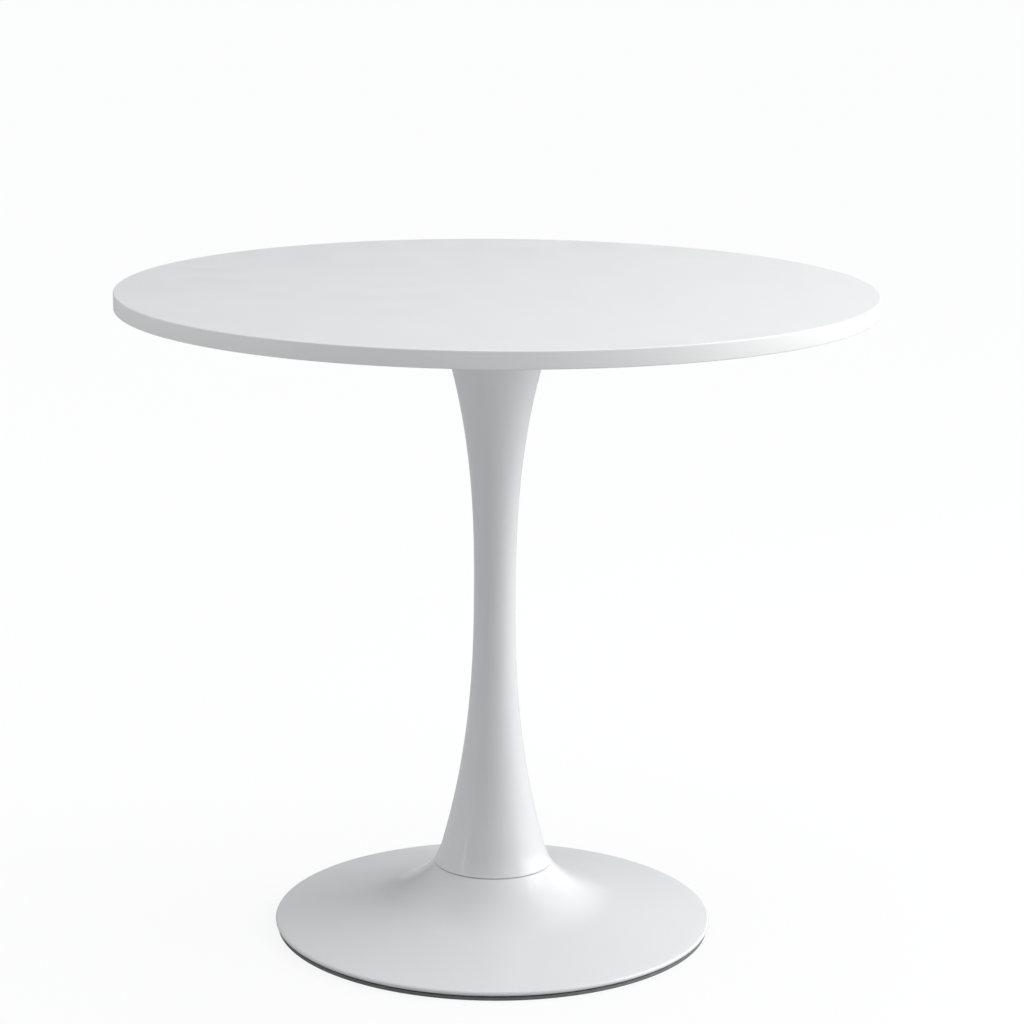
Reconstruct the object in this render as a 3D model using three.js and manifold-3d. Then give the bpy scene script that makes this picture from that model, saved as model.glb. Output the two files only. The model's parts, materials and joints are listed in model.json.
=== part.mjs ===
// Round pedestal table: a laminated disc top on a trumpet column and a spun dished base.
// Millimetres, +Z up, origin on the floor under the column's axis.
//
// How it is built, from the top down:
//   - the top is a core board with a face laminate, a backing laminate and a bonded edge band
//   - machine screws in threaded inserts hold it to a round mounting plate
//   - one long tie rod clamps plate, column, base shell, hub and iron ballast into a stack
//   - a sheet cover closes the base, and a soft ring under the rim stands on the floor

import * as THREE from 'three';
import { mergeVertices } from 'three/addons/utils/BufferGeometryUtils.js';
import Module from 'manifold-3d';

// ---------------------------------------------------------------- driving sizes: the top
const TABLE_HEIGHT = 745;
const TOP_RADIUS = 425;
const TOP_THICKNESS = 19;
const LAMINATE = 0.8;
const EDGE_BAND = 2;
const ARRIS = 1.5;

// ---------------------------------------------------------------- driving sizes: the column
const COLUMN_WAIST_RADIUS = 23.8;
const COLUMN_FOOT_RADIUS = 67.6;
const COLUMN_HEAD_RADIUS = 71.8;
const COLUMN_WAIST_SHARE = 0.492;
const COLUMN_FOOT_FLARE = 2.36;
const COLUMN_HEAD_FLARE = 2.54;
const COLUMN_CURL = 2.3;
const COLUMN_CURL_HEIGHT = 22;
const COLUMN_WALL = 2;
const SEAM_GAP = 0.8;
const SEAM_DEPTH = 3;
const PLUG_THICKNESS = 8;

// ---------------------------------------------------------------- driving sizes: the base
const BASE_RADIUS = 252;
const BASE_NECK_HEIGHT = 74.6;
const BASE_WALL = 2;
const LIP_BEND = 0.6;
const NECK_FLANGE = 17.6;
const NECK_SLOPE = 52;
const SKIRT_SLOPE = 10;
const RIM_ROLL = 2.8;
const RIM_FLANGE = 15.5;

const HUB_TUBE_RADIUS = 30;
const HUB_WALL = 4;
const HUB_FLANGE = 4;
const HUB_SEAT = 10;
const HUB_FOOT_RADIUS = 42;

const BALLAST_THICKNESS = 10;
const BALLAST_BOSS_HEIGHT = 32;
const BALLAST_BOSS_MARGIN = 4;
const BALLAST_CHAMFER = 2;

const RING_HEIGHT = 3.9;
const RING_GROOVE = 1.6;
const RING_INSET = 2.5;
const RING_STEM_INSET = 7;
const RING_INNER_INSET = 14;
const COVER_THICKNESS = 1.5;

// ---------------------------------------------------------------- driving sizes: fastening
const MOUNT_PLATE_RADIUS = 150;
const MOUNT_PLATE_THICKNESS = 4;
const MOUNT_SCREW = { count: 6, edge: 25, shank: 3, length: 15, head: 5.2, headHeight: 3.3, key: 4 };
const COVER_SCREW = { count: 4, edge: 50, shank: 2, length: 9, head: 3.8, headHeight: 2, key: 2.5 };
const INSERT_RADIUS = 5;
const INSERT_LENGTH = 11;

const ROD_RADIUS = 5;
const ROD_PROUD = 1.5;
const NUT_HEIGHT = 8;
const NUT_ACROSS_FLATS = 16;
const WASHER_RADIUS = 10;
const WASHER_THICKNESS = 2;

const PIN_RADIUS = 3;
const PIN_COUNT = 2;
const PIN_OFFSET = 8;

// ---------------------------------------------------------------- clearances
const BORE_CLEARANCE = 0.4;
const WELD_GAP = 0.3;
const ROD_CLEARANCE = 1;
const COVER_CLEARANCE = 1;
const WRENCH_CLEARANCE = 6;
const POCKET_CLEARANCE = 1.5;
const BALLAST_CLEARANCE = 5;

// ---------------------------------------------------------------- facets
const TOP_SIDES = 64;
const BASE_SIDES = 48;
const COLUMN_SIDES = 32;
const COLUMN_STEPS = 10;
const FLARE_STEPS = 8;
const SMALL_SIDES = 12;

// How far a drill runs past an open face, so that the cut goes right through.
const OVERSHOOT = 1;

// ---------------------------------------------------------------- levels and radii that follow
const topUnderside = TABLE_HEIGHT - TOP_THICKNESS;
const coreRadius = TOP_RADIUS - EDGE_BAND;
const coreBottom = topUnderside + LAMINATE;
const coreTop = TABLE_HEIGHT - LAMINATE;

const columnTop = topUnderside - MOUNT_PLATE_THICKNESS;
const columnBottom = BASE_NECK_HEIGHT + SEAM_GAP;
const columnWaist = columnBottom + (columnTop - columnBottom) * COLUMN_WAIST_SHARE;
const footPlugTop = BASE_NECK_HEIGHT + PLUG_THICKNESS;
const headPlugBottom = columnTop - PLUG_THICKNESS;

const rimUnderside = RING_HEIGHT + RING_GROOVE;
const rollCentreRadius = BASE_RADIUS - RIM_ROLL;
const rollCentreHeight = rimUnderside + RIM_ROLL;
const neckSlope = THREE.MathUtils.degToRad(NECK_SLOPE);
const skirtSlope = THREE.MathUtils.degToRad(SKIRT_SLOPE);
const skirtEndRadius = rollCentreRadius + RIM_ROLL * Math.sin(skirtSlope);
const skirtEndHeight = rollCentreHeight + RIM_ROLL * Math.cos(skirtSlope);
const neckUnderside = BASE_NECK_HEIGHT - BASE_WALL;
const neckHoleRadius = COLUMN_FOOT_RADIUS - NECK_FLANGE;

const hubFlangeBottom = neckUnderside - HUB_FLANGE;
const hubHeadRadius = neckHoleRadius + HUB_SEAT;
const hubBottom = rimUnderside + BALLAST_BOSS_HEIGHT;
const ballastTop = rimUnderside + BALLAST_THICKNESS;
const ballastBossRadius = HUB_FOOT_RADIUS + BALLAST_BOSS_MARGIN;
const ringInnerRadius = BASE_RADIUS - RING_INNER_INSET;
const coverBottom = rimUnderside - COVER_THICKNESS;

// The casting reaches out until the straight skirt above it comes down to its clearance.
const ballastHeadroom = ballastTop + BALLAST_CLEARANCE + BASE_WALL - skirtEndHeight;
const ballastRadius = skirtEndRadius - ballastHeadroom / Math.tan(skirtSlope);

const rodHole = ROD_RADIUS + ROD_CLEARANCE;
const rodTop = topUnderside + WASHER_THICKNESS + NUT_HEIGHT + ROD_PROUD;
const rodBottom = rimUnderside + ROD_PROUD;
const lowerNutBottom = rodBottom + ROD_PROUD;
const lowerWasherBottom = lowerNutBottom + NUT_HEIGHT;
const nutRecessTop = lowerWasherBottom + WASHER_THICKNESS;
const nutPocketTop = rodTop + POCKET_CLEARANCE;
const nutPocketRadius = WASHER_RADIUS + WRENCH_CLEARANCE;

const insertHole = INSERT_RADIUS + BORE_CLEARANCE;
const insertTop = coreBottom + INSERT_LENGTH;
const mountScrewHole = MOUNT_SCREW.shank + BORE_CLEARANCE;
const mountScrewTop = columnTop + MOUNT_SCREW.length;
const coverScrewHole = COVER_SCREW.shank + BORE_CLEARANCE;
const coverScrewTop = coverBottom + COVER_SCREW.length;
const pinHole = PIN_RADIUS + BORE_CLEARANCE;

const mountPlaces = boltCircle(MOUNT_SCREW.count, MOUNT_PLATE_RADIUS - MOUNT_SCREW.edge, 0.5);
const coverPlaces = boltCircle(COVER_SCREW.count, ballastRadius - COVER_SCREW.edge, 0.5);
const pinPlaces = boltCircle(PIN_COUNT, HUB_TUBE_RADIUS + PIN_OFFSET, 0);

// ---------------------------------------------------------------- materials
function paint(color, roughness, metalness = 0) {
  return new THREE.MeshStandardMaterial({ color, roughness, metalness });
}

const faceLaminate = paint(0xf2f2f0, 0.4);
const backingLaminate = paint(0xe2e1dd, 0.6);
const fibreboard = paint(0xb08d62, 0.9);
const edgePlastic = paint(0xf0f0ef, 0.35);
const whiteLacquer = paint(0xeeeeee, 0.22);
const zincSteel = paint(0xb9bcc0, 0.4, 1);
const brass = paint(0xc9a45c, 0.35, 1);
const castIron = paint(0x3a3b3d, 0.75, 0.4);
const blackSheet = paint(0x1c1c1e, 0.6);
const greyRubber = paint(0x55585a, 0.85);

// ---------------------------------------------------------------- outlines
function point(radius, height) {
  return new THREE.Vector2(radius, height);
}

// Points along a circle's arc from one angle to another, both ends included.
function arc(centreRadius, centreHeight, radius, from, to, steps) {
  return Array.from({ length: steps + 1 }, (_, i) => {
    const angle = from + ((to - from) * i) / steps;
    return point(centreRadius + radius * Math.cos(angle), centreHeight + radius * Math.sin(angle));
  });
}

// Moves an open outline to its right-hand side by a sheet's thickness.
function offsetOutline(outline, thickness) {
  const last = outline.length - 1;
  const rightOf = (from, to) => {
    const along = to.clone().sub(from).normalize();
    return point(along.y, -along.x);
  };
  return outline.map((here, i) => {
    const arriving = rightOf(outline[Math.max(i - 1, 0)], outline[Math.max(i, 1)]);
    const leaving = rightOf(outline[Math.min(i, last - 1)], outline[Math.min(i + 1, last)]);
    const reach = thickness / (1 + arriving.dot(leaving));
    return here.clone().addScaledVector(arriving.add(leaving), reach);
  });
}

// Places on a circle as [x, y] pairs; the start is a share of one spacing.
function boltCircle(count, radius, start) {
  return Array.from({ length: count }, (_, i) => {
    const angle = ((i + start) / count) * Math.PI * 2;
    return [radius * Math.cos(angle), radius * Math.sin(angle)];
  });
}

// ---------------------------------------------------------------- solids
// Turns an anticlockwise outline about Z. It starts and ends on the axis, or is closed here.
function turned(outline, sides) {
  const profile = outline[0].x === 0 ? outline : [...outline, outline[0].clone()];
  return new THREE.LatheGeometry(profile, sides).rotateX(Math.PI / 2);
}

function ring(outer, bore, bottom, top, sides) {
  return turned([point(bore, bottom), point(outer, bottom), point(outer, top), point(bore, top)], sides);
}

function disc(radius, bottom, top, sides) {
  return turned([point(0, bottom), point(radius, bottom), point(radius, top), point(0, top)], sides);
}

function regularPath(path, radius, sides) {
  const corners = boltCircle(sides, radius, 0);
  return path.setFromPoints([...corners, corners[0]].map(([x, y]) => new THREE.Vector2(x, y)));
}

// A hexagonal prism for nuts and key sockets, with an optional round bore.
function hexPrism(acrossFlats, bottom, top, bore = 0) {
  const shape = regularPath(new THREE.Shape(), acrossFlats / Math.sqrt(3), 6);
  if (bore > 0) {
    shape.holes.push(regularPath(new THREE.Path(), bore, SMALL_SIDES));
  }
  const geometry = new THREE.ExtrudeGeometry(shape, { depth: top - bottom, bevelEnabled: false });
  return geometry.translate(0, 0, bottom);
}

// ---------------------------------------------------------------- boolean cuts
const wasm = await Module();
wasm.setup();

function toManifold(geometry) {
  const bare = geometry.clone();
  bare.deleteAttribute('normal');
  bare.deleteAttribute('uv');
  const merged = mergeVertices(bare, 1e-4);
  return new wasm.Manifold(new wasm.Mesh({
    numProp: 3,
    vertProperties: Float32Array.from(merged.attributes.position.array),
    triVerts: Uint32Array.from(merged.index.array),
  }));
}

function cut(geometry, tools) {
  const rest = tools.reduce((body, tool) => body.subtract(toManifold(tool)), toManifold(geometry));
  const mesh = rest.getMesh();
  const result = new THREE.BufferGeometry();
  result.setAttribute('position', new THREE.BufferAttribute(mesh.vertProperties, 3));
  result.setIndex(new THREE.BufferAttribute(mesh.triVerts, 1));
  return result;
}

function drills(places, radius, bottom, top) {
  return places.map(([x, y]) => disc(radius, bottom, top, SMALL_SIDES).translate(x, y, 0));
}

// ---------------------------------------------------------------- the assembly
const table = new THREE.Group();

function add(name, geometry, material) {
  const mesh = new THREE.Mesh(geometry, material);
  mesh.name = name;
  table.add(mesh);
  return mesh;
}

function addCopies(name, geometry, material, places) {
  places.forEach(([x, y], i) => {
    add(`${name}_${i + 1}`, geometry, material).position.set(x, y, 0);
  });
}

// ---------------------------------------------------------------- table top
function buildTop() {
  const board = disc(coreRadius, coreBottom, coreTop, TOP_SIDES);
  const nutPocket = disc(nutPocketRadius, coreBottom - OVERSHOOT, nutPocketTop, SMALL_SIDES);
  const blindTop = Math.max(insertTop, mountScrewTop) + BORE_CLEARANCE;
  const insertHoles = drills(mountPlaces, insertHole, coreBottom - OVERSHOOT, blindTop);
  add('tabletop_core_board', cut(board, [nutPocket, ...insertHoles]), fibreboard);

  add('tabletop_face_laminate', disc(coreRadius, coreTop, TABLE_HEIGHT, TOP_SIDES), faceLaminate);

  const backing = disc(coreRadius, topUnderside, coreBottom, TOP_SIDES);
  const above = coreBottom + OVERSHOOT;
  const below = topUnderside - OVERSHOOT;
  const accessHole = disc(nutPocketRadius, below, above, SMALL_SIDES);
  const backingHoles = drills(mountPlaces, insertHole, below, above);
  add('tabletop_backing_laminate', cut(backing, [accessHole, ...backingHoles]), backingLaminate);

  const arrisRadius = TOP_RADIUS - ARRIS;
  const band = [
    point(coreRadius, topUnderside),
    ...arc(arrisRadius, topUnderside + ARRIS, ARRIS, -Math.PI / 2, 0, 2),
    ...arc(arrisRadius, TABLE_HEIGHT - ARRIS, ARRIS, 0, Math.PI / 2, 2),
    point(coreRadius, TABLE_HEIGHT),
  ];
  add('tabletop_edge_band', turned(band, TOP_SIDES), edgePlastic);

  const insert = ring(INSERT_RADIUS, mountScrewHole, coreBottom, insertTop, SMALL_SIDES);
  addCopies('threaded_insert', insert, brass, mountPlaces);
}

// ---------------------------------------------------------------- column
// Outer radius of the trumpet: a power flare on each side of the waist.
function columnRadius(height) {
  if (height < columnWaist) {
    const share = (columnWaist - height) / (columnWaist - columnBottom);
    const curlShare = Math.max(0, 1 - (height - columnBottom) / COLUMN_CURL_HEIGHT);
    const flare = COLUMN_FOOT_RADIUS - COLUMN_CURL - COLUMN_WAIST_RADIUS;
    return COLUMN_WAIST_RADIUS + flare * share ** COLUMN_FOOT_FLARE + COLUMN_CURL * curlShare ** 2;
  }
  const share = (height - columnWaist) / (columnTop - columnWaist);
  return COLUMN_WAIST_RADIUS + (COLUMN_HEAD_RADIUS - COLUMN_WAIST_RADIUS) * share ** COLUMN_HEAD_FLARE;
}

// A disc that fills one end of the column, with the rod's bore and the pins' holes.
function columnPlug(side, bottom, top) {
  const outline = [point(rodHole, bottom), ...side, point(rodHole, top)];
  return cut(turned(outline, COLUMN_SIDES), drills(pinPlaces, pinHole, bottom - OVERSHOOT, top + OVERSHOOT));
}

function buildColumn() {
  const curlTop = columnBottom + COLUMN_CURL_HEIGHT;
  const aboveCurl = Array.from({ length: COLUMN_STEPS + 1 }, (_, i) => {
    return curlTop + ((columnTop - curlTop) * i) / COLUMN_STEPS;
  });
  const levels = [columnBottom, (columnBottom + curlTop) / 2, ...aboveCurl];
  const outside = levels.map((height) => point(columnRadius(height), height));
  const inside = levels.map((height) => point(columnRadius(height) - COLUMN_WALL, height));
  add('column_shell', turned([...outside, ...inside.reverse()], COLUMN_SIDES), whiteLacquer);

  const fitted = (height) => point(columnRadius(height) - COLUMN_WALL - WELD_GAP, height);
  const seamStep = point(COLUMN_FOOT_RADIUS - SEAM_DEPTH, BASE_NECK_HEIGHT);
  const footSide = [seamStep, fitted(columnBottom), fitted(footPlugTop)];
  add('column_foot_plug', columnPlug(footSide, BASE_NECK_HEIGHT, footPlugTop), zincSteel);

  const headSide = [fitted(headPlugBottom), fitted(columnTop)];
  add('column_head_plug', columnPlug(headSide, headPlugBottom, columnTop), zincSteel);

  const plate = ring(MOUNT_PLATE_RADIUS, rodHole, columnTop, topUnderside, COLUMN_SIDES);
  const below = columnTop - OVERSHOOT;
  const above = topUnderside + OVERSHOOT;
  const screwHoles = drills(mountPlaces, mountScrewHole, below, above);
  add('mounting_plate', cut(plate, [...screwHoles, ...drills(pinPlaces, pinHole, below, above)]), whiteLacquer);
}

// ---------------------------------------------------------------- base
// Outer face of the spun shell: neck flange, rounded lip, flare, straight skirt, rolled rim, rim flange.
// The lip's arc is tangent to the flat flange and to the top of the flare. The flare is one arc that
// eases the slope from the neck's to the skirt's, with the radius that brings the skirt to the rim's roll.
function baseOutline() {
  const lipEnd = Math.PI / 2 - neckSlope;
  const lipRadius = BASE_WALL + LIP_BEND;
  const lipCentreRadius = COLUMN_FOOT_RADIUS - lipRadius * Math.tan(neckSlope / 2);
  const lipCentreHeight = BASE_NECK_HEIGHT - lipRadius;
  const lip = arc(lipCentreRadius, lipCentreHeight, lipRadius, Math.PI / 2, lipEnd, 2);

  const flareTop = lip[lip.length - 1];
  const reach = Math.sin(neckSlope) - Math.sin(skirtSlope);
  const drop = Math.cos(skirtSlope) - Math.cos(neckSlope);
  const aboveSkirt = flareTop.y - skirtEndHeight - (skirtEndRadius - flareTop.x) * Math.tan(skirtSlope);
  const flareRadius = aboveSkirt / (drop - reach * Math.tan(skirtSlope));
  const flareCentreRadius = flareTop.x + flareRadius * Math.sin(neckSlope);
  const flareCentreHeight = flareTop.y + flareRadius * Math.cos(neckSlope);
  const flareStart = -Math.PI / 2 - neckSlope;
  const flareEnd = -Math.PI / 2 - skirtSlope;
  const flare = arc(flareCentreRadius, flareCentreHeight, flareRadius, flareStart, flareEnd, FLARE_STEPS);

  const rollStart = Math.PI / 2 - skirtSlope;
  const roll = arc(rollCentreRadius, rollCentreHeight, RIM_ROLL, rollStart, -Math.PI / 2, 4);
  return [
    point(neckHoleRadius, BASE_NECK_HEIGHT),
    ...lip,
    ...flare.slice(1),
    ...roll,
    point(rollCentreRadius - RIM_FLANGE, rimUnderside),
  ];
}

function buildBase() {
  const outside = baseOutline();
  const inside = offsetOutline(outside, BASE_WALL);
  add('base_shell', turned([...inside, ...outside.reverse()], BASE_SIDES), whiteLacquer);

  const hubBore = HUB_TUBE_RADIUS - HUB_WALL;
  const hub = [
    point(hubBore, hubBottom),
    point(HUB_FOOT_RADIUS, hubBottom),
    point(HUB_FOOT_RADIUS, hubBottom + HUB_FLANGE),
    point(HUB_TUBE_RADIUS, hubBottom + HUB_FLANGE),
    point(HUB_TUBE_RADIUS, hubFlangeBottom),
    point(hubHeadRadius, hubFlangeBottom),
    point(hubHeadRadius, neckUnderside),
    point(hubBore, neckUnderside),
  ];
  const hubPinHoles = drills(pinPlaces, pinHole, hubFlangeBottom - OVERSHOOT, neckUnderside + OVERSHOOT);
  add('base_hub', cut(turned(hub, COLUMN_SIDES), hubPinHoles), zincSteel);

  // The boss rises at 45 degrees from the plate to the hub's seat.
  const ballast = [
    point(rodHole, nutRecessTop),
    point(nutPocketRadius, nutRecessTop),
    point(nutPocketRadius, rimUnderside),
    point(ballastRadius, rimUnderside),
    point(ballastRadius, ballastTop - BALLAST_CHAMFER),
    point(ballastRadius - BALLAST_CHAMFER, ballastTop),
    point(ballastBossRadius + BALLAST_BOSS_HEIGHT - BALLAST_THICKNESS, ballastTop),
    point(ballastBossRadius, hubBottom),
    point(rodHole, hubBottom),
  ];
  const tappedTop = coverScrewTop + BORE_CLEARANCE;
  const tappedHoles = drills(coverPlaces, coverScrewHole, rimUnderside - OVERSHOOT, tappedTop);
  add('ballast_casting', cut(turned(ballast, BASE_SIDES), tappedHoles), castIron);

  const coverRadius = ringInnerRadius - COVER_CLEARANCE;
  const cover = ring(coverRadius, nutPocketRadius, coverBottom, rimUnderside, BASE_SIDES);
  const coverHoles = drills(coverPlaces, coverScrewHole, coverBottom - OVERSHOOT, rimUnderside + OVERSHOOT);
  add('bottom_cover', cut(cover, coverHoles), blackSheet);

  const footRadius = BASE_RADIUS - RING_INSET;
  const stemRadius = BASE_RADIUS - RING_STEM_INSET;
  const floorRing = [
    point(ringInnerRadius, 0),
    point(footRadius, 0),
    point(footRadius, RING_HEIGHT),
    point(stemRadius, RING_HEIGHT),
    point(stemRadius, rimUnderside),
    point(ringInnerRadius, rimUnderside),
  ];
  add('floor_ring', turned(floorRing, BASE_SIDES), greyRubber);
}

// ---------------------------------------------------------------- fasteners
// A button-head screw that points up, with its head's upper face at the seat.
function buttonScrew(size, seat) {
  const headBottom = seat - size.headHeight;
  const shankTop = seat + size.length;
  const tip = size.shank * 0.3;
  const outline = [
    point(0, headBottom),
    point(size.head * 0.55, headBottom),
    point(size.head * 0.9, headBottom + size.headHeight * 0.45),
    point(size.head, seat),
    point(size.shank, seat),
    point(size.shank, shankTop - tip),
    point(size.shank - tip, shankTop),
    point(0, shankTop),
  ];
  const socket = hexPrism(size.key, headBottom - OVERSHOOT, headBottom + size.headHeight * 0.6);
  return cut(turned(outline, SMALL_SIDES), [socket]);
}

function buildFasteners() {
  addCopies('mounting_screw', buttonScrew(MOUNT_SCREW, columnTop), zincSteel, mountPlaces);
  addCopies('cover_screw', buttonScrew(COVER_SCREW, coverBottom), zincSteel, coverPlaces);

  const bore = ROD_RADIUS + BORE_CLEARANCE;
  const washer = (bottom) => ring(WASHER_RADIUS, bore, bottom, bottom + WASHER_THICKNESS, SMALL_SIDES);
  const nut = (bottom) => hexPrism(NUT_ACROSS_FLATS, bottom, bottom + NUT_HEIGHT, bore);
  add('tie_rod', disc(ROD_RADIUS, rodBottom, rodTop, SMALL_SIDES), zincSteel);
  add('tie_rod_upper_washer', washer(topUnderside), zincSteel);
  add('tie_rod_upper_nut', nut(topUnderside + WASHER_THICKNESS), zincSteel);
  add('tie_rod_lower_washer', washer(lowerWasherBottom), zincSteel);
  add('tie_rod_lower_nut', nut(lowerNutBottom), zincSteel);

  const upperPin = disc(PIN_RADIUS, headPlugBottom, topUnderside, SMALL_SIDES);
  addCopies('upper_locating_pin', upperPin, zincSteel, pinPlaces);
  const lowerPin = disc(PIN_RADIUS, hubFlangeBottom, footPlugTop, SMALL_SIDES);
  addCopies('lower_locating_pin', lowerPin, zincSteel, pinPlaces);
}

buildTop();
buildColumn();
buildBase();
buildFasteners();

export default table;
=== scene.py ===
"""Looks of the round pedestal table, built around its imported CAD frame. Metres, +Z up."""

import json
import math

import bmesh
import bpy
import numpy as np
from mathutils import Euler, Matrix, Vector


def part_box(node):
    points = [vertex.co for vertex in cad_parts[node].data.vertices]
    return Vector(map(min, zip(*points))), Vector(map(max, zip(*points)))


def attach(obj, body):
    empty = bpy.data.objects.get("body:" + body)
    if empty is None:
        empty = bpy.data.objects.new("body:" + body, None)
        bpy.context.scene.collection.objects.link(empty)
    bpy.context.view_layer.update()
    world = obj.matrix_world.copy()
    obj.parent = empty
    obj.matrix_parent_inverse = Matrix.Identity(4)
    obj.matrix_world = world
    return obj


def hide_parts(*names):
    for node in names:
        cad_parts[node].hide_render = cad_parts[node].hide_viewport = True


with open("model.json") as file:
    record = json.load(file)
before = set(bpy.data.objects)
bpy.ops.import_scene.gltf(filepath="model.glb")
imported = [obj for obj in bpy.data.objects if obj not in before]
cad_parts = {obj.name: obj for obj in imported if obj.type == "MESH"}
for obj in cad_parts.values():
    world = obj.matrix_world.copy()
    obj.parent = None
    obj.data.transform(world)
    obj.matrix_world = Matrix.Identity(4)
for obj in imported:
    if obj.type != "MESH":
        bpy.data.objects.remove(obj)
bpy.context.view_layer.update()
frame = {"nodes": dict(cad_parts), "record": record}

MM = 0.001
SLOT_OF = {row["node"]: row["material_slot"] for row in frame["record"]["subparts"]}

# ------------------------------------------------------------ camera and studio
CAMERA_PLACE = (0.0, -3.3307, 1.2307)
CAMERA_PITCH = math.radians(12.553)
CAMERA_ROLL = math.radians(0.442)
CAMERA_LENS = 105.9
CAMERA_SHIFT = 0.0162
CAMERA_SENSOR = 36.0

# The floor's tone and glow as the camera sees it, and its tone where it lights the table.
FLOOR_SIZE = 60.0
FLOOR_GLOW = 0.86
FLOOR_TONE = 0.12
FLOOR_BOUNCE = 0.5

# The dome's strength from each side, and its tints at the horizon and overhead.
PAPER_WHITE = 0.97
DOME_OVERHEAD = 1.68
DOME_RIGHT = 1.3
DOME_LEFT = 0.7
DOME_BACK_RIGHT = 1.27
HORIZON_TINT = (1.0, 1.0, 0.975)
OVERHEAD_TINT = (0.975, 1.0, 1.03)

# Each light's place, what it faces, its width, height and radiance.
SOFTBOXES = {
    "key_right": ((3.0, -0.3, 1.6), (0.0, 0.0, 0.5), 2.6, 2.2, 2.75),
    "strip_left": ((-2.28, -1.03, 0.85), (0.0, 0.0, 0.1), 0.10, 1.0, 6.0),
    "strip_high_right": ((1.8, 0.03, 2.02), (0.0, 0.0, 0.05), 0.06, 0.6, 10.0),
}

# ------------------------------------------------------------ the column's and the base's curves
WAIST_RADIUS = 23.8 * MM
FOOT_RADIUS = 67.6 * MM
WAIST_SHARE = 0.492
FOOT_FLARE = 2.36
HEAD_FLARE = 2.54
FOOT_CURL = 2.3 * MM
CURL_HEIGHT = 22.0 * MM
SHELL_WALL = 2.0 * MM
WELD_GAP = 0.3 * MM
SEAM_DEPTH = 3.0 * MM
FOOT_EDGE = 0.35 * MM

LIP_RADIUS = 2.6 * MM
NECK_FLANGE = 17.6 * MM
NECK_SLOPE = math.radians(52)
SKIRT_SLOPE = math.radians(10)
RIM_ROLL = 2.8 * MM
RIM_FLANGE = 15.5 * MM

# ------------------------------------------------------------ hub, ballast and ring
HUB_BORE = 26.0 * MM
HUB_TUBE = 30.0 * MM
HUB_FOOT = 42.0 * MM
HUB_FLANGE = 4.0 * MM
HUB_FILLET = 2.5 * MM

BALLAST_PLATE = 10.0 * MM
BALLAST_BOSS = 46.0 * MM
CAST_EASE = 1.0 * MM
CAST_ROUND = 2.0 * MM
BOSS_FILLET = 8.0 * MM

RING_WIDTH = 11.5 * MM
RING_STEP = 4.5 * MM
RING_FOOT = 3.9 * MM

# ------------------------------------------------------------ edges, holes and threads
ARRIS = 1.5 * MM
JOINT_EASE = 0.12 * MM
PLATE_EASE = 0.6 * MM
SHEET_EASE = 0.3 * MM
ROD_HOLE = 6.0 * MM
NUT_POCKET = 16.0 * MM
NUT_HEADROOM = 1.5 * MM
SCREW_HOLE = 3.4 * MM
PIN_HOLE = 3.4 * MM
COVER_HOLE = 2.4 * MM
WASHER_HOLE = 5.4 * MM
NUT_HOLE = 5.2 * MM
HOLE_EASE = 0.3 * MM
SHEET_HOLE_EASE = 0.2 * MM
NUT_HOLE_EASE = 0.5 * MM
WASHER_EASE = 0.25 * MM
PIN_EASE = 0.5 * MM
THREAD_SHARE = 0.55
THREAD_STEPS = 8
ROD_PITCH = 1.5 * MM
ROD_CHAMFER = 0.8 * MM
ROD_THREAD = 45.0 * MM
BORE_CLEARANCE = 0.4 * MM
OVERSHOOT = 1.0 * MM
SHARP = math.radians(35)

TOP_TURNS = 320
BASE_TURNS = 288
COLUMN_TURNS = 160
SMALL_TURNS = 48
ROD_TURNS = 40

# Each screw's piece name, then its head's height, shank radius, pitch and key.
SCREWS = {
    "mounting_screw": ("mount_screw", 3.3 * MM, 3.0 * MM, 1.0 * MM, 4.0 * MM),
    "cover_screw": ("sheet_screw", 2.0 * MM, 2.0 * MM, 0.7 * MM, 2.5 * MM),
}


# ------------------------------------------------------------ outlines
def arc(centre, radius, start, end, steps):
    """Points on an arc in the (radius, height) plane, both ends included."""
    angles = np.linspace(start, end, steps + 1)
    return [(centre[0] + radius * math.cos(a), centre[1] + radius * math.sin(a)) for a in angles]


def fillet_points(before, corner, after, fillet, steps):
    """The arc that rounds one corner of an outline."""
    here = Vector(corner)
    back = (Vector(before) - here).normalized()
    ahead = (Vector(after) - here).normalized()
    half = back.angle(ahead) / 2
    centre = here + (back + ahead).normalized() * (fillet / math.sin(half))
    spokes = [here + side * (fillet / math.tan(half)) - centre for side in (back, ahead)]
    start = math.atan2(spokes[0].y, spokes[0].x)
    turn = (math.atan2(spokes[1].y, spokes[1].x) - start + math.pi) % (2 * math.pi) - math.pi
    return arc(centre, fillet, start, start + turn, steps)


def rounded(corners, steps=5):
    """Points of an outline of (radius, height, fillet) corners; off the axis it is a loop."""
    points = []
    for i, (r, z, fillet) in enumerate(corners):
        if fillet == 0:
            points.append((r, z))
        else:
            after = corners[(i + 1) % len(corners)]
            points += fillet_points(corners[i - 1][:2], (r, z), after[:2], fillet, steps)
    return points


def offset(outline, thickness):
    """Moves an open outline to its right-hand side by a sheet's thickness."""
    points = np.array(outline)
    along = np.diff(points, axis=0)
    along /= np.linalg.norm(along, axis=1)[:, None]
    right = np.stack([along[:, 1], -along[:, 0]], axis=1)
    arriving = np.vstack([right[:1], right])
    leaving = np.vstack([right, right[-1:]])
    share = thickness / (1 + (arriving * leaving).sum(axis=1))
    return [tuple(p) for p in points + (arriving + leaving) * share[:, None]]


# ------------------------------------------------------------ meshes
def shade(mesh):
    """Smooth shading that keeps the real edges sharp."""
    mesh.polygons.foreach_set("use_smooth", [True] * len(mesh.polygons))
    mesh.set_sharp_from_angle(angle=SHARP)


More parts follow.
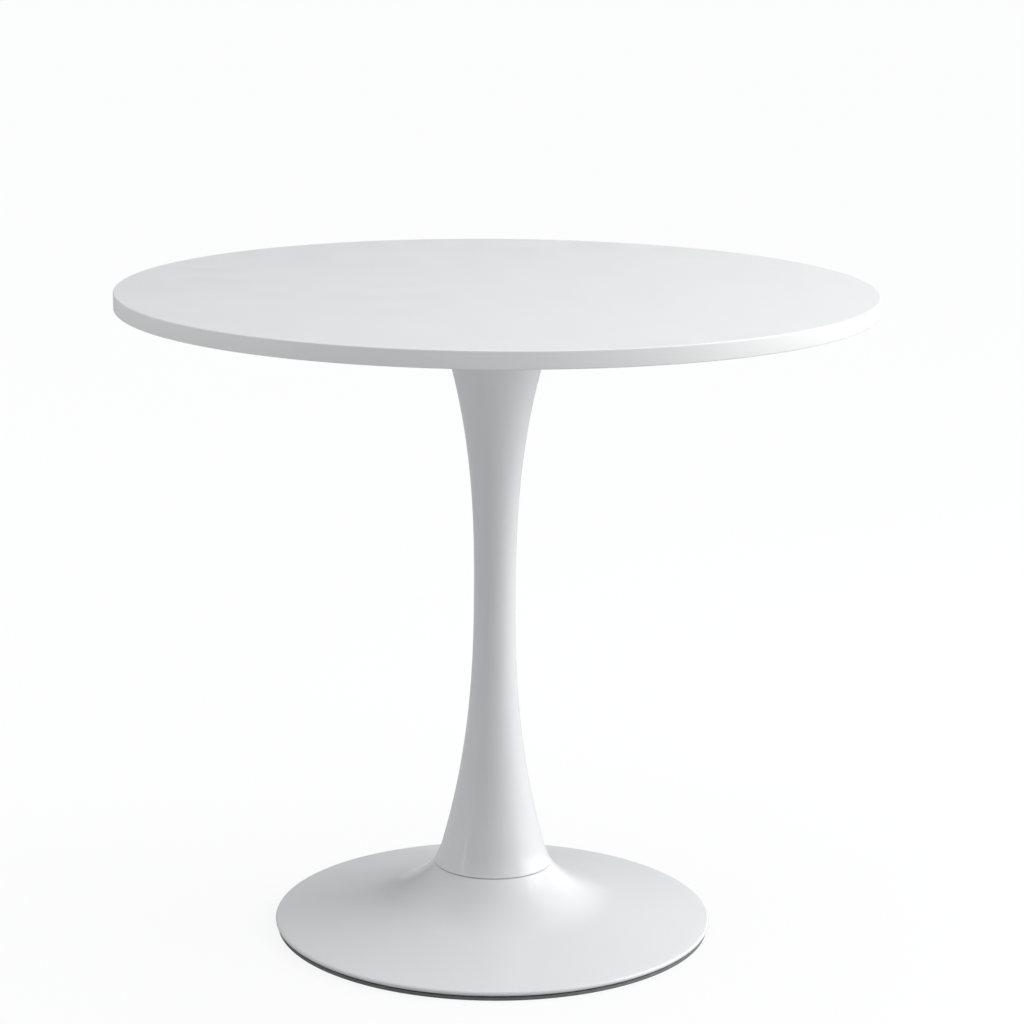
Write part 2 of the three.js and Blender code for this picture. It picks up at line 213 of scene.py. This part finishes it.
def make_piece(name, bm, place=(0.0, 0.0)):
    bmesh.ops.recalc_face_normals(bm, faces=bm.faces)
    mesh = bpy.data.meshes.new(name)
    bm.to_mesh(mesh)
    bm.free()
    mesh.transform(Matrix.Translation((*place, 0.0)))
    shade(mesh)
    piece = bpy.data.objects.new(name, mesh)
    bpy.context.scene.collection.objects.link(piece)
    return piece


def skin(rows, looped):
    """Joins rings of points into a closed surface; a ring of one point is a pole."""
    bm = bmesh.new()
    rings = [[bm.verts.new(point) for point in row] for row in rows]
    pairs = list(zip(rings, rings[1:]))
    if looped:
        pairs.append((rings[-1], rings[0]))
    turns = max(len(ring) for ring in rings)
    for low, high in pairs:
        for k in range(turns):
            n = (k + 1) % turns
            below = [low[k % len(low)], low[n % len(low)]]
            above = [high[n % len(high)], high[k % len(high)]]
            bm.faces.new(dict.fromkeys(below + above))
    return bm


def circle(radius, height, turns):
    if radius == 0.0:
        return [(0.0, 0.0, height)]
    angles = [2 * math.pi * k / turns for k in range(turns)]
    return [(radius * math.cos(a), radius * math.sin(a), height) for a in angles]


def revolved(name, outline, turns, place=(0.0, 0.0)):
    """Revolves an outline about Z. One that starts on the axis ends on it; any other is a loop."""
    rows = [circle(r, z, turns) for r, z in outline]
    return make_piece(name, skin(rows, looped=outline[0][0] > 0), place)


def turned(name, corners, turns=SMALL_TURNS, place=(0.0, 0.0), steps=5):
    return revolved(name, rounded(corners, steps), turns, place)


def disc(name, radius, bottom, top, turns=SMALL_TURNS, place=(0.0, 0.0), ease=0):
    corners = [(0.0, bottom, 0), (radius, bottom, ease), (radius, top, ease), (0.0, top, 0)]
    return turned(name, corners, turns, place)


def washer(name, outer, bore, bottom, top, turns, ease):
    corners = [(bore, bottom, ease), (outer, bottom, ease), (outer, top, ease), (bore, top, ease)]
    return turned(name, corners, turns)


def carve(piece, tools, operation="DIFFERENCE"):
    """Cuts the piece with each tool, exactly, and removes the tools."""
    for tool in tools:
        modifier = piece.modifiers.new("carve", "BOOLEAN")
        modifier.operation = operation
        modifier.solver = "EXACT"
        modifier.object = tool
    depsgraph = bpy.context.evaluated_depsgraph_get()
    mesh = bpy.data.meshes.new_from_object(piece.evaluated_get(depsgraph))
    piece.modifiers.clear()
    piece.data = mesh
    shade(mesh)
    for tool in tools:
        bpy.data.objects.remove(tool)
    return piece


def countersink(radius, ease, bottom, top, place=(0.0, 0.0)):
    """A drill for a hole through a plate, flared at both faces so that its edges are eased."""
    corners = [
        (0.0, bottom - OVERSHOOT, 0),
        (radius + ease + OVERSHOOT, bottom - OVERSHOOT, 0),
        (radius, bottom + ease, 0),
        (radius, top - ease, 0),
        (radius + ease + OVERSHOOT, top + OVERSHOOT, 0),
        (0.0, top + OVERSHOOT, 0),
    ]
    return turned("drill", corners, place=place)


def hexagon(name, across_flats, bottom, top):
    corner = across_flats / math.sqrt(3)
    outline = [(0.0, bottom), (corner, bottom), (corner, top), (0.0, top)]
    rows = [circle(r, z, 6) for r, z in outline]
    return make_piece(name, skin(rows, looped=False))


# ------------------------------------------------------------ where things go
def round_span(node):
    """Outer radius, bottom and top of a node that is centred on the axis."""
    low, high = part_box(node)
    return high.x, low.z, high.z


def centre_of(node):
    low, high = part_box(node)
    return (low.x + high.x) / 2, (low.y + high.y) / 2


def numbered(stem):
    return sorted(name for name in frame["nodes"] if name.startswith(stem + "_"))


def adopt(piece, node, finish):
    """Puts a piece in a CAD node's place, on the table's one body."""
    piece.data.materials.clear()
    piece.data.materials.append(finish)
    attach(piece, "root")
    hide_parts(node)


# ------------------------------------------------------------ shader nodes
class Wire:
    """A node's output; arithmetic on it adds Math nodes."""

    def __init__(self, board, socket):
        self.board = board
        self.socket = socket

    def math(self, operation, first, second=0.0):
        return self.board.node("ShaderNodeMath", {"operation": operation}, {0: first, 1: second})

    def __add__(self, other):
        return self.math("ADD", self, other)

    def __radd__(self, other):
        return self.math("ADD", other, self)

    def __sub__(self, other):
        return self.math("SUBTRACT", self, other)

    def __rsub__(self, other):
        return self.math("SUBTRACT", other, self)

    def __mul__(self, other):
        return self.math("MULTIPLY", self, other)

    def __rmul__(self, other):
        return self.math("MULTIPLY", other, self)

    def __pow__(self, other):
        return self.math("POWER", self, other)

    def at_least(self, other):
        return self.math("MAXIMUM", self, other)


class Board:
    """A node tree that is built by one method."""

    def __init__(self, owner):
        owner.use_nodes = True
        self.owner = owner
        self.tree = owner.node_tree
        self.tree.nodes.clear()

    def node(self, kind, settings=None, sockets=None, output=0):
        """Adds a node: its settings first, then its sockets' values or links."""
        made = self.tree.nodes.new(kind)
        for key, value in (settings or {}).items():
            setattr(made, key, value)
        for key, value in (sockets or {}).items():
            if isinstance(value, Wire):
                self.tree.links.new(value.socket, made.inputs[key])
            else:
                made.inputs[key].default_value = value
        return Wire(self, made.outputs[output]) if made.outputs else None

    def place(self):
        return self.node("ShaderNodeTexCoord", output="Object")

    def noise(self, size, detail=2.0, stretch=(1.0, 1.0, 1.0)):
        """Noise in 0..1 with lumps about size metres across, before the stretch."""
        multiply = {"operation": "MULTIPLY"}
        place = self.node("ShaderNodeVectorMath", multiply, {0: self.place(), 1: stretch})
        sockets = {"Vector": place, "Scale": 1 / size, "Detail": detail}
        return self.node("ShaderNodeTexNoise", None, sockets)

    def cells(self, size):
        """Distance to the nearest of many scattered points about size metres apart."""
        return self.node("ShaderNodeTexVoronoi", None, {"Vector": self.place(), "Scale": 1 / size})

    def span(self, value, low, high, to_low=0.0, to_high=1.0):
        """Maps a value from one range to another and holds it there."""
        sockets = {"Value": value, "From Min": low, "From Max": high}
        sockets |= {"To Min": to_low, "To Max": to_high}
        return self.node("ShaderNodeMapRange", {"clamp": True}, sockets)

    def blend(self, factor, first, second):
        """Mixes two colours, given as numbers or wires."""
        colours = [c if isinstance(c, Wire) else (*c, 1.0) for c in (first, second)]
        sockets = {"Factor": factor, 6: colours[0], 7: colours[1]}
        return self.node("ShaderNodeMix", {"data_type": "RGBA"}, sockets, output=2)

    def bump(self, height, distance):
        return self.node("ShaderNodeBump", None, {"Height": height, "Distance": distance})

    def surface(self, **sockets):
        """Ends a material in a Principled shader."""
        named = {key.replace("_", " "): value for key, value in sockets.items()}
        shader = self.node("ShaderNodeBsdfPrincipled", None, named)
        self.node("ShaderNodeOutputMaterial", None, {"Surface": shader})
        return self.owner


def finish_board(name):
    return Board(bpy.data.materials.new(name))


# ------------------------------------------------------------ finishes
def grey(level):
    return (level, level, level)


def white_lacquer():
    """Semi-gloss white powder coat: faint orange peel and slow changes of tone and gloss."""
    b = finish_board("white_lacquer")
    tone = b.blend(b.noise(0.15, 3.0), (0.767, 0.770, 0.780), (0.796, 0.799, 0.805))
    gloss = b.span(b.noise(0.035, 4.0), 0.3, 0.7, 0.29, 0.35)
    peel = b.noise(2.4 * MM, 1.0) + b.noise(0.7 * MM, 1.0) * 0.25
    return b.surface(
        Base_Color=tone,
        Roughness=gloss,
        Normal=b.bump(peel, 0.003 * MM),
        Coat_Weight=0.35,
        Coat_Roughness=0.04,
    )


def face_laminate():
    """Satin white laminate: a fine pressed texture and a barely clouded tone."""
    b = finish_board("face_laminate")
    tone = b.blend(b.noise(0.22, 4.0), (0.770, 0.771, 0.770), (0.795, 0.795, 0.792))
    gloss = b.span(b.noise(0.05, 5.0), 0.3, 0.7, 0.36, 0.44)
    pebble = b.noise(0.55 * MM, 2.0)
    return b.surface(Base_Color=tone, Roughness=gloss, Normal=b.bump(pebble, 0.012 * MM))


def edge_band():
    """Extruded plastic edging: fine lines along its length, drawn out round the rim."""
    b = finish_board("edge_band")
    lines = b.noise(0.9 * MM, 3.0, stretch=(0.03, 0.03, 1.0))
    tone = b.blend(lines, (0.838, 0.839, 0.839), (0.852, 0.852, 0.851))
    gloss = b.span(lines, 0.3, 0.7, 0.30, 0.38)
    return b.surface(Base_Color=tone, Roughness=gloss, Normal=b.bump(lines, 0.003 * MM))


def backing_laminate():
    """Plain off-white backing sheet with a fine fleck."""
    b = finish_board("backing_laminate")
    fleck = b.span(b.noise(0.9 * MM, 2.0), 0.55, 0.75)
    tone = b.blend(fleck, (0.70, 0.695, 0.68), (0.62, 0.61, 0.59))
    gloss = b.span(b.noise(0.04, 4.0), 0.3, 0.7, 0.5, 0.6)
    texture = b.noise(0.5 * MM, 2.0)
    return b.surface(Base_Color=tone, Roughness=gloss, Normal=b.bump(texture, 0.02 * MM))


def fibreboard():
    """Raw medium-density fibreboard: short felted fibres, darker between them."""
    b = finish_board("fibreboard")
    fibres = b.noise(1.6 * MM, 6.0, stretch=(1.0, 0.25, 3.0))
    tone = b.blend(fibres, (0.36, 0.235, 0.125), (0.56, 0.40, 0.24))
    gloss = b.span(fibres, 0.3, 0.7, 0.8, 0.92)
    return b.surface(Base_Color=tone, Roughness=gloss, Normal=b.bump(fibres, 0.08 * MM))


def zinc_steel():
    """Bright zinc plating: a cold and a straw tint in turn, with fine turned lines."""
    b = finish_board("zinc_steel")
    tint = b.noise(6.0 * MM, 2.0)
    tone = b.blend(b.span(tint, 0.35, 0.65), (0.60, 0.63, 0.67), (0.68, 0.66, 0.60))
    gloss = b.span(b.noise(1.5 * MM, 4.0), 0.3, 0.7, 0.29, 0.40)
    lines = b.noise(0.35 * MM, 1.0, stretch=(0.2, 0.2, 1.0))
    turned_lines = b.bump(lines, 0.006 * MM)
    return b.surface(Base_Color=tone, Metallic=1.0, Roughness=gloss, Normal=turned_lines)


def insert_brass():
    """Turned brass with a little tarnish."""
    b = finish_board("insert_brass")
    tarnish = b.span(b.noise(3.0 * MM, 4.0), 0.45, 0.7)
    tone = b.blend(tarnish, (0.78, 0.60, 0.32), (0.52, 0.38, 0.20))
    gloss = b.span(tarnish, 0.0, 1.0, 0.29, 0.45)
    lines = b.noise(0.3 * MM, 1.0, stretch=(0.2, 0.2, 1.0))
    turned_lines = b.bump(lines, 0.008 * MM)
    return b.surface(Base_Color=tone, Metallic=1.0, Roughness=gloss, Normal=turned_lines)


def cast_iron():
    """Black-dipped sand casting: a grainy skin with shallow pits."""
    b = finish_board("cast_iron")
    grain = b.noise(1.8 * MM, 5.0)
    pits = b.span(b.cells(5.0 * MM), 0.0, 0.35)
    tone = b.blend(grain, (0.020, 0.020, 0.022), (0.060, 0.057, 0.055))
    gloss = b.span(grain, 0.3, 0.7, 0.55, 0.75)
    skin_height = grain * 0.6 + pits * 0.4
    return b.surface(Base_Color=tone, Roughness=gloss, Normal=b.bump(skin_height, 0.3 * MM))


def cover_sheet():
    """Black powder coat on sheet steel, in a fine wrinkle."""
    b = finish_board("cover_sheet")
    wrinkle = b.noise(0.8 * MM, 3.0)
    tone = b.blend(wrinkle, (0.016, 0.016, 0.018), (0.030, 0.030, 0.032))
    gloss = b.span(b.noise(0.02, 4.0), 0.3, 0.7, 0.42, 0.55)
    return b.surface(Base_Color=tone, Roughness=gloss, Normal=b.bump(wrinkle, 0.04 * MM))


def ring_rubber():
    """Matt dark-grey rubber with a fine moulded grain and a trace of dust."""
    b = finish_board("ring_rubber")
    dust = b.span(b.noise(9.0 * MM, 5.0), 0.5, 0.8)
    tone = b.blend(dust, (0.185, 0.190, 0.195), (0.26, 0.26, 0.255))
    gloss = b.span(b.noise(2.0 * MM, 3.0), 0.3, 0.7, 0.62, 0.8)
    grain = b.noise(0.4 * MM, 2.0)
    return b.surface(Base_Color=tone, Roughness=gloss, Normal=b.bump(grain, 0.03 * MM))


FINISHES = {
    "white_lacquer": white_lacquer(),
    "face_laminate": face_laminate(),
    "edge_band": edge_band(),
    "backing_laminate": backing_laminate(),
    "fibreboard": fibreboard(),
    "zinc_steel": zinc_steel(),
    "insert_brass": insert_brass(),
    "cast_iron": cast_iron(),
    "cover_sheet": cover_sheet(),
    "ring_rubber": ring_rubber(),
}


def settle(piece, node):
    adopt(piece, node, FINISHES[SLOT_OF[node]])


# ------------------------------------------------------------ table top
def build_top():
    mount_places = [centre_of(node) for node in numbered("mounting_screw")]

    radius, bottom, top = round_span("tabletop_face_laminate")
    face = disc("top_face", radius, bottom, top, TOP_TURNS, ease=JOINT_EASE)
    settle(face, "tabletop_face_laminate")

    outer, band_bottom, band_top = round_span("tabletop_edge_band")
    band = [
        (radius, band_bottom, JOINT_EASE),
        (outer, band_bottom, ARRIS),
        (outer, band_top, ARRIS),
        (radius, band_top, JOINT_EASE),
    ]
    settle(turned("edge_band", band, TOP_TURNS, steps=8), "tabletop_edge_band")

    insert_radius = (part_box("threaded_insert_1")[1].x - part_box("threaded_insert_1")[0].x) / 2
    hole = insert_radius + BORE_CLEARANCE
    _, low, high = round_span("tabletop_backing_laminate")
    backing = disc("top_backing", radius, low, high, TOP_TURNS, ease=JOINT_EASE)
    drills = [countersink(hole, 0.0, low, high, place) for place in mount_places]
    drills.append(countersink(NUT_POCKET, 0.0, low, high))
    settle(carve(backing, drills), "tabletop_backing_laminate")

    _, low, high = round_span("tabletop_core_board")
    pocket_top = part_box("tie_rod")[1].z + NUT_HEADROOM
    insert_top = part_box("threaded_insert_1")[1].z + BORE_CLEARANCE
    board = disc("core_board", radius, low, high, TOP_TURNS, ease=JOINT_EASE)
    start = low - OVERSHOOT
    pockets = [disc("drill", hole, start, insert_top, place=place) for place in mount_places]
    pockets.append(disc("drill", NUT_POCKET, start, pocket_top))
    settle(carve(board, pockets), "tabletop_core_board")

    for node in numbered("threaded_insert"):
        low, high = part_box(node)
        settle(knurled_insert(node, low.z, high.z, insert_radius), node)


def knurled_insert(node, bottom, top, radius):
    """A pressed insert: a plain collar below and barbed rings above."""
    bore = radius - 1.6 * MM
    mouth = 0.4 * MM
    collar = 1.4 * MM
    barbs_start = bottom + 2.0 * MM
    root = radius - 0.7 * MM
    barb = radius - 0.1 * MM
    rings = 5
    pitch = (top - barbs_start) / rings
    side = [(radius, bottom, 0), (radius, bottom + collar, 0)]
    for k in range(rings):
        start = barbs_start + k * pitch
        side += [(root, start, 0), (barb, start + pitch * 0.7, 0)]
    inside = [(bore, top, 0), (bore, bottom + mouth, 0)]
    corners = [(bore + mouth, bottom, 0), *side, (root, top, 0), *inside]
    return turned("insert_" + node[-1], corners, place=centre_of(node))


# ------------------------------------------------------------ column
def column_radius(height, bottom, top, head_radius):
    """Two flares that meet at the waist, and a last small curl at the foot."""
    waist = bottom + (top - bottom) * WAIST_SHARE
    if height > waist:
        share = (height - waist) / (top - waist)
        return WAIST_RADIUS + (head_radius - WAIST_RADIUS) * share**HEAD_FLARE
    share = (waist - height) / (waist - bottom)
    curl_share = max(0.0, 1 - (height - bottom) / CURL_HEIGHT)
    flare = (FOOT_RADIUS - FOOT_CURL - WAIST_RADIUS) * share**FOOT_FLARE
    return WAIST_RADIUS + flare + FOOT_CURL * curl_share**2


def build_column():
    head_radius, bottom, top = round_span("column_shell")
    curl_top = bottom + CURL_HEIGHT
    heights = [*np.linspace(bottom, curl_top, 20), *np.linspace(curl_top, top, 121)[1:]]
    outside = [(column_radius(z, bottom, top, head_radius), z) for z in heights]
    inside = [(r - SHELL_WALL, z) for r, z in reversed(outside)]
    edge = arc((outside[0][0] - FOOT_EDGE, bottom + FOOT_EDGE), FOOT_EDGE, -math.pi / 2, 0, 4)
    outline = [*edge, *outside[1:], *inside]
    settle(revolved("column", outline, COLUMN_TURNS), "column_shell")

    pins = [centre_of(node) for node in numbered("upper_locating_pin")]
    pin_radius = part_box("upper_locating_pin_1")[1].y
    pin_hole = pin_radius + BORE_CLEARANCE

    for name, node in (("foot_plug", "column_foot_plug"), ("head_plug", "column_head_plug")):
        _, low, high = round_span(node)
        fitted = [
            (column_radius(z, bottom, top, head_radius) - SHELL_WALL - WELD_GAP, z, 0)
            for z in np.linspace(max(low, bottom), high, 9)
        ]
        step = [(FOOT_RADIUS - SEAM_DEPTH, low, 0)] if low < bottom else []
        plug = turned(name, [(ROD_HOLE, low, 0), *step, *fitted, (ROD_HOLE, high, 0)], COLUMN_TURNS)
        drills = [countersink(pin_hole, HOLE_EASE, low, high, place) for place in pins]
        settle(carve(plug, drills), node)

    radius, low, high = round_span("mounting_plate")
    plate = washer("mounting_plate_round", radius, ROD_HOLE, low, high, BASE_TURNS, PLATE_EASE)
    places = [centre_of(node) for node in numbered("mounting_screw")]
    drills = [countersink(SCREW_HOLE, HOLE_EASE, low, high, place) for place in places]
    drills += [countersink(pin_hole, HOLE_EASE, low, high, place) for place in pins]
    settle(carve(plate, drills), "mounting_plate")


# ------------------------------------------------------------ base
def base_outline(rim_radius, neck_height, rim_underside):
    """Outer face of the spun shell: neck flange, lip, flare, straight skirt, rolled rim, flange."""
    roll_centre = (rim_radius - RIM_ROLL, rim_underside + RIM_ROLL)
    roll = arc(roll_centre, RIM_ROLL, math.pi / 2 - SKIRT_SLOPE, -math.pi / 2, 20)
    lip_centre = (FOOT_RADIUS - LIP_RADIUS * math.tan(NECK_SLOPE / 2), neck_height - LIP_RADIUS)
    lip = arc(lip_centre, LIP_RADIUS, math.pi / 2, math.pi / 2 - NECK_SLOPE, 8)

    (top_radius, top_height), (end_radius, end_height) = lip[-1], roll[0]
    fall = math.tan(SKIRT_SLOPE)
    reach = math.sin(NECK_SLOPE) - math.sin(SKIRT_SLOPE)
    drop = math.cos(SKIRT_SLOPE) - math.cos(NECK_SLOPE)
    above_skirt = top_height - end_height - (end_radius - top_radius) * fall
    flare_radius = above_skirt / (drop - reach * fall)
    flare_centre = (
        top_radius + flare_radius * math.sin(NECK_SLOPE),
        top_height + flare_radius * math.cos(NECK_SLOPE),
    )
    down = -math.pi / 2
    flare = arc(flare_centre, flare_radius, down - NECK_SLOPE, down - SKIRT_SLOPE, 48)

    skirt = [tuple(step) for step in np.linspace(flare[-1], roll[0], 13)[1:-1]]
    neck_edge = (FOOT_RADIUS - NECK_FLANGE, neck_height)
    flange_edge = (roll_centre[0] - RIM_FLANGE, rim_underside)
    return [neck_edge, *lip, *flare[1:], *skirt, *roll, flange_edge]


def build_base():
    radius, low, high = round_span("base_shell")
    outside = base_outline(radius, high, low)
    inside = offset(outside, SHELL_WALL)
    settle(revolved("base_dish", [*inside, *reversed(outside)], BASE_TURNS), "base_shell")

    radius, low, high = round_span("base_hub")
    pins = [centre_of(node) for node in numbered("lower_locating_pin")]
    foot_top = low + HUB_FLANGE
    head_underside = high - HUB_FLANGE
    hub = [
        (HUB_BORE, low, PLATE_EASE),
        (HUB_FOOT, low, PLATE_EASE),
        (HUB_FOOT, foot_top, PLATE_EASE),
        (HUB_TUBE, foot_top, HUB_FILLET),
        (HUB_TUBE, head_underside, HUB_FILLET),
        (radius, head_underside, PLATE_EASE),
        (radius, high, PLATE_EASE),
        (HUB_BORE, high, PLATE_EASE),
    ]
    hub_piece = turned("hub", hub, COLUMN_TURNS)
    drills = [countersink(PIN_HOLE, HOLE_EASE, head_underside, high, place) for place in pins]
    settle(carve(hub_piece, drills), "base_hub")

    cover_places = [centre_of(node) for node in numbered("cover_screw")]
    radius, low, high = round_span("ballast_casting")
    plate_top = low + BALLAST_PLATE
    boss_foot = BALLAST_BOSS + high - plate_top
    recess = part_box("tie_rod_lower_washer")[1].z
    ballast = [
        (ROD_HOLE, recess, 0),
        (NUT_POCKET, recess, CAST_EASE),
        (NUT_POCKET, low, CAST_EASE),
        (radius, low, CAST_EASE),
        (radius, plate_top, CAST_ROUND),
        (boss_foot, plate_top, BOSS_FILLET),
        (BALLAST_BOSS, high, CAST_ROUND),
        (ROD_HOLE, high, 0),
    ]
    casting = turned("ballast", ballast, BASE_TURNS)
    tapped_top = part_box("cover_screw_1")[1].z + BORE_CLEARANCE
    start = low - OVERSHOOT
    drills = [disc("drill", COVER_HOLE, start, tapped_top, place=place) for place in cover_places]
    settle(carve(casting, drills), "ballast_casting")

    radius, low, high = round_span("bottom_cover")
    cover = washer("under_cover", radius, NUT_POCKET, low, high, BASE_TURNS, SHEET_EASE)
    holes = [countersink(COVER_HOLE, SHEET_HOLE_EASE, low, high, place) for place in cover_places]
    settle(carve(cover, holes), "bottom_cover")

    radius, low, high = round_span("floor_ring")
    inner = radius - RING_WIDTH
    stem = radius - RING_STEP
    foot = low + RING_FOOT
    ring = [
        (inner, low, 0.5 * MM),
        (radius, low, 0.6 * MM),
        (radius, foot, 0.8 * MM),
        (stem, foot, 0.4 * MM),
        (stem, high, 0.3 * MM),
        (inner, high, 0.3 * MM),
    ]
    settle(turned("foot_ring", ring, BASE_TURNS), "floor_ring")


# ------------------------------------------------------------ fasteners
def thread_rows(major, pitch, bottom, top, turns):
    """Rings whose radius follows a helical groove, fading out at both ends."""
    rows = []
    depth = THREAD_SHARE * pitch
    count = int((top - bottom) / pitch * THREAD_STEPS)
    for i in range(count + 1):
        z = bottom + (top - bottom) * i / count
        fade = min(1.0, (z - bottom) / pitch, (top - z) / pitch)
        row = []
        for k in range(turns):
            angle = 2 * math.pi * k / turns
            phase = (z / pitch - k / turns) % 1.0
            radius = major - depth * fade * abs(2 * phase - 1)
            row.append((radius * math.cos(angle), radius * math.sin(angle), z))
        rows.append(row)
    return rows


def screw(name, node, height, shank, pitch, key):
    """A button-head screw with a key socket, pointing up; its head is height tall."""
    low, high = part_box(node)
    head = (high.x - low.x) / 2
    flat = head / 2
    edge = 0.2 * MM
    seat = low.z + height
    outline = [(0.0, low.z), (flat, low.z)]
    for angle in np.linspace(0.15, 1, 9) * math.pi / 2:
        dome_height = low.z + height * 0.8 * (1 - math.cos(angle))
        outline.append((flat + flat * math.sin(angle), dome_height))
    outline += [(head, seat - edge), (head - edge, seat), (shank, seat)]
    rows = [circle(r, z, SMALL_TURNS) for r, z in outline]
    rows += thread_rows(shank, pitch, seat, high.z - 0.6 * MM, SMALL_TURNS)[1:]
    rows += [circle(shank * 0.75, high.z, SMALL_TURNS), circle(0.0, high.z, SMALL_TURNS)]
    body = make_piece(name, skin(rows, looped=False))
    socket = hexagon("socket", key, low.z - OVERSHOOT, low.z + height * 0.65)
    carve(body, [socket])
    body.data.transform(Matrix.Translation((*centre_of(node), 0.0)))
    return body


def nut(name, node):
    """A hexagon nut with turned chamfers and a plain bore."""
    low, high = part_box(node)
    flats = high.y - low.y
    outer = (high.x - low.x) / 2
    body = hexagon(name, flats, low.z, high.z)
    face = flats / 2 - 0.2 * MM
    beyond = outer + 0.1 * MM
    chamfer = 0.9 * MM
    barrel = [
        (0.0, low.z, 0),
        (face, low.z, 0),
        (beyond, low.z + chamfer, 0),
        (beyond, high.z - chamfer, 0),
        (face, high.z, 0),
        (0.0, high.z, 0),
    ]
    carve(body, [turned("barrel", barrel)], "INTERSECT")
    return carve(body, [countersink(NUT_HOLE, NUT_HOLE_EASE, low.z, high.z)])


def build_fasteners():
    for stem, (name, *sizes) in SCREWS.items():
        for node in numbered(stem):
            settle(screw(f"{name}_{node[-1]}", node, *sizes), node)

    radius, low, high = round_span("tie_rod")
    tip = radius - ROD_CHAMFER
    rows = [circle(0.0, low, ROD_TURNS), circle(tip, low, ROD_TURNS)]
    rows += thread_rows(radius, ROD_PITCH, low + ROD_CHAMFER, low + ROD_THREAD, ROD_TURNS)
    rows += thread_rows(radius, ROD_PITCH, high - ROD_THREAD, high - ROD_CHAMFER, ROD_TURNS)
    rows += [circle(tip, high, ROD_TURNS), circle(0.0, high, ROD_TURNS)]
    settle(make_piece("rod", skin(rows, looped=False)), "tie_rod")

    for end in ("upper", "lower"):
        node = f"tie_rod_{end}_washer"
        radius, low, high = round_span(node)
        sizes = (radius, WASHER_HOLE, low, high, SMALL_TURNS, WASHER_EASE)
        settle(washer(f"rod_washer_{end}", *sizes), node)
        settle(nut(f"rod_nut_{end}", f"tie_rod_{end}_nut"), f"tie_rod_{end}_nut")
        for node in numbered(f"{end}_locating_pin"):
            low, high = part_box(node)
            radius = (high.x - low.x) / 2
            place = centre_of(node)
            pin = disc(f"pin_{end}_{node[-1]}", radius, low.z, high.z, place=place, ease=PIN_EASE)
            settle(pin, node)


# ------------------------------------------------------------ studio
def build_camera():
    camera = bpy.data.objects.new("camera", bpy.data.cameras.new("camera"))
    camera.location = CAMERA_PLACE
    tilt = Euler((math.pi / 2 - CAMERA_PITCH, 0.0, 0.0)).to_matrix()
    camera.rotation_euler = (tilt @ Matrix.Rotation(CAMERA_ROLL, 3, "Z")).to_euler()
    camera.data.lens = CAMERA_LENS
    camera.data.sensor_width = CAMERA_SENSOR
    camera.data.shift_x = CAMERA_SHIFT
    bpy.context.scene.collection.objects.link(camera)
    bpy.context.scene.camera = camera


def build_floor():
    half = FLOOR_SIZE / 2
    corners = ((-half, -half), (half, -half), (half, half), (-half, half))
    bm = bmesh.new()
    bm.faces.new([bm.verts.new((x, y, 0.0)) for x, y in corners])
    floor = make_piece("studio_floor", bm)
    b = finish_board("studio_paper")
    seen = b.node("ShaderNodeLightPath", output="Is Camera Ray")
    tone = b.blend(seen, grey(FLOOR_BOUNCE), grey(FLOOR_TONE))
    glow = b.blend(seen, grey(0.0), grey(FLOOR_GLOW))
    paper = b.surface(Base_Color=tone, Roughness=0.9, Specular_IOR_Level=0.0, Emission_Color=glow,
                      Emission_Strength=1.0)
    floor.data.materials.append(paper)


def softbox(name, place, target, width, height, radiance):
    """A rectangular light that faces a target; its power follows from its size."""
    light = bpy.data.lights.new(name, "AREA")
    light.shape = "RECTANGLE"
    light.size = width
    light.size_y = height
    light.energy = radiance * math.pi * width * height
    lamp = bpy.data.objects.new(name, light)
    lamp.location = place
    lamp.rotation_euler = (Vector(target) - Vector(place)).to_track_quat("-Z", "Y").to_euler()
    bpy.context.scene.collection.objects.link(lamp)


def build_lights():
    """A soft dome, brighter overhead and to the right; the camera sees plain pale paper."""
    world = bpy.data.worlds.new("studio")
    bpy.context.scene.world = world
    b = Board(world)
    direction = b.node("ShaderNodeTexCoord", output="Generated")
    x, y, z = (b.node("ShaderNodeSeparateXYZ", None, {0: direction}, output=axis) for axis in "XYZ")
    overhead = DOME_OVERHEAD * z.at_least(0.0) ** 3
    right = DOME_RIGHT * x.at_least(0.0) ** 2
    left = DOME_LEFT * (0.0 - x).at_least(0.0) ** 2
    back_right = DOME_BACK_RIGHT * ((x + y) * math.sqrt(0.5)).at_least(0.0) ** 4
    seen = b.node("ShaderNodeLightPath", output="Is Camera Ray")
    strength = (overhead + right + left + back_right) * (1 - seen) + PAPER_WHITE * seen
    tint = b.blend(z.at_least(0.0), HORIZON_TINT, OVERHEAD_TINT)
    background = b.node("ShaderNodeBackground", None, {"Color": tint, "Strength": strength})
    b.node("ShaderNodeOutputWorld", None, {"Surface": background})
    for name, (place, target, width, height, radiance) in SOFTBOXES.items():
        softbox(name, place, target, width, height, radiance)


bpy.context.scene.view_settings.view_transform = "Standard"
build_camera()
build_floor()
build_lights()
build_top()
build_column()
build_base()
build_fasteners()
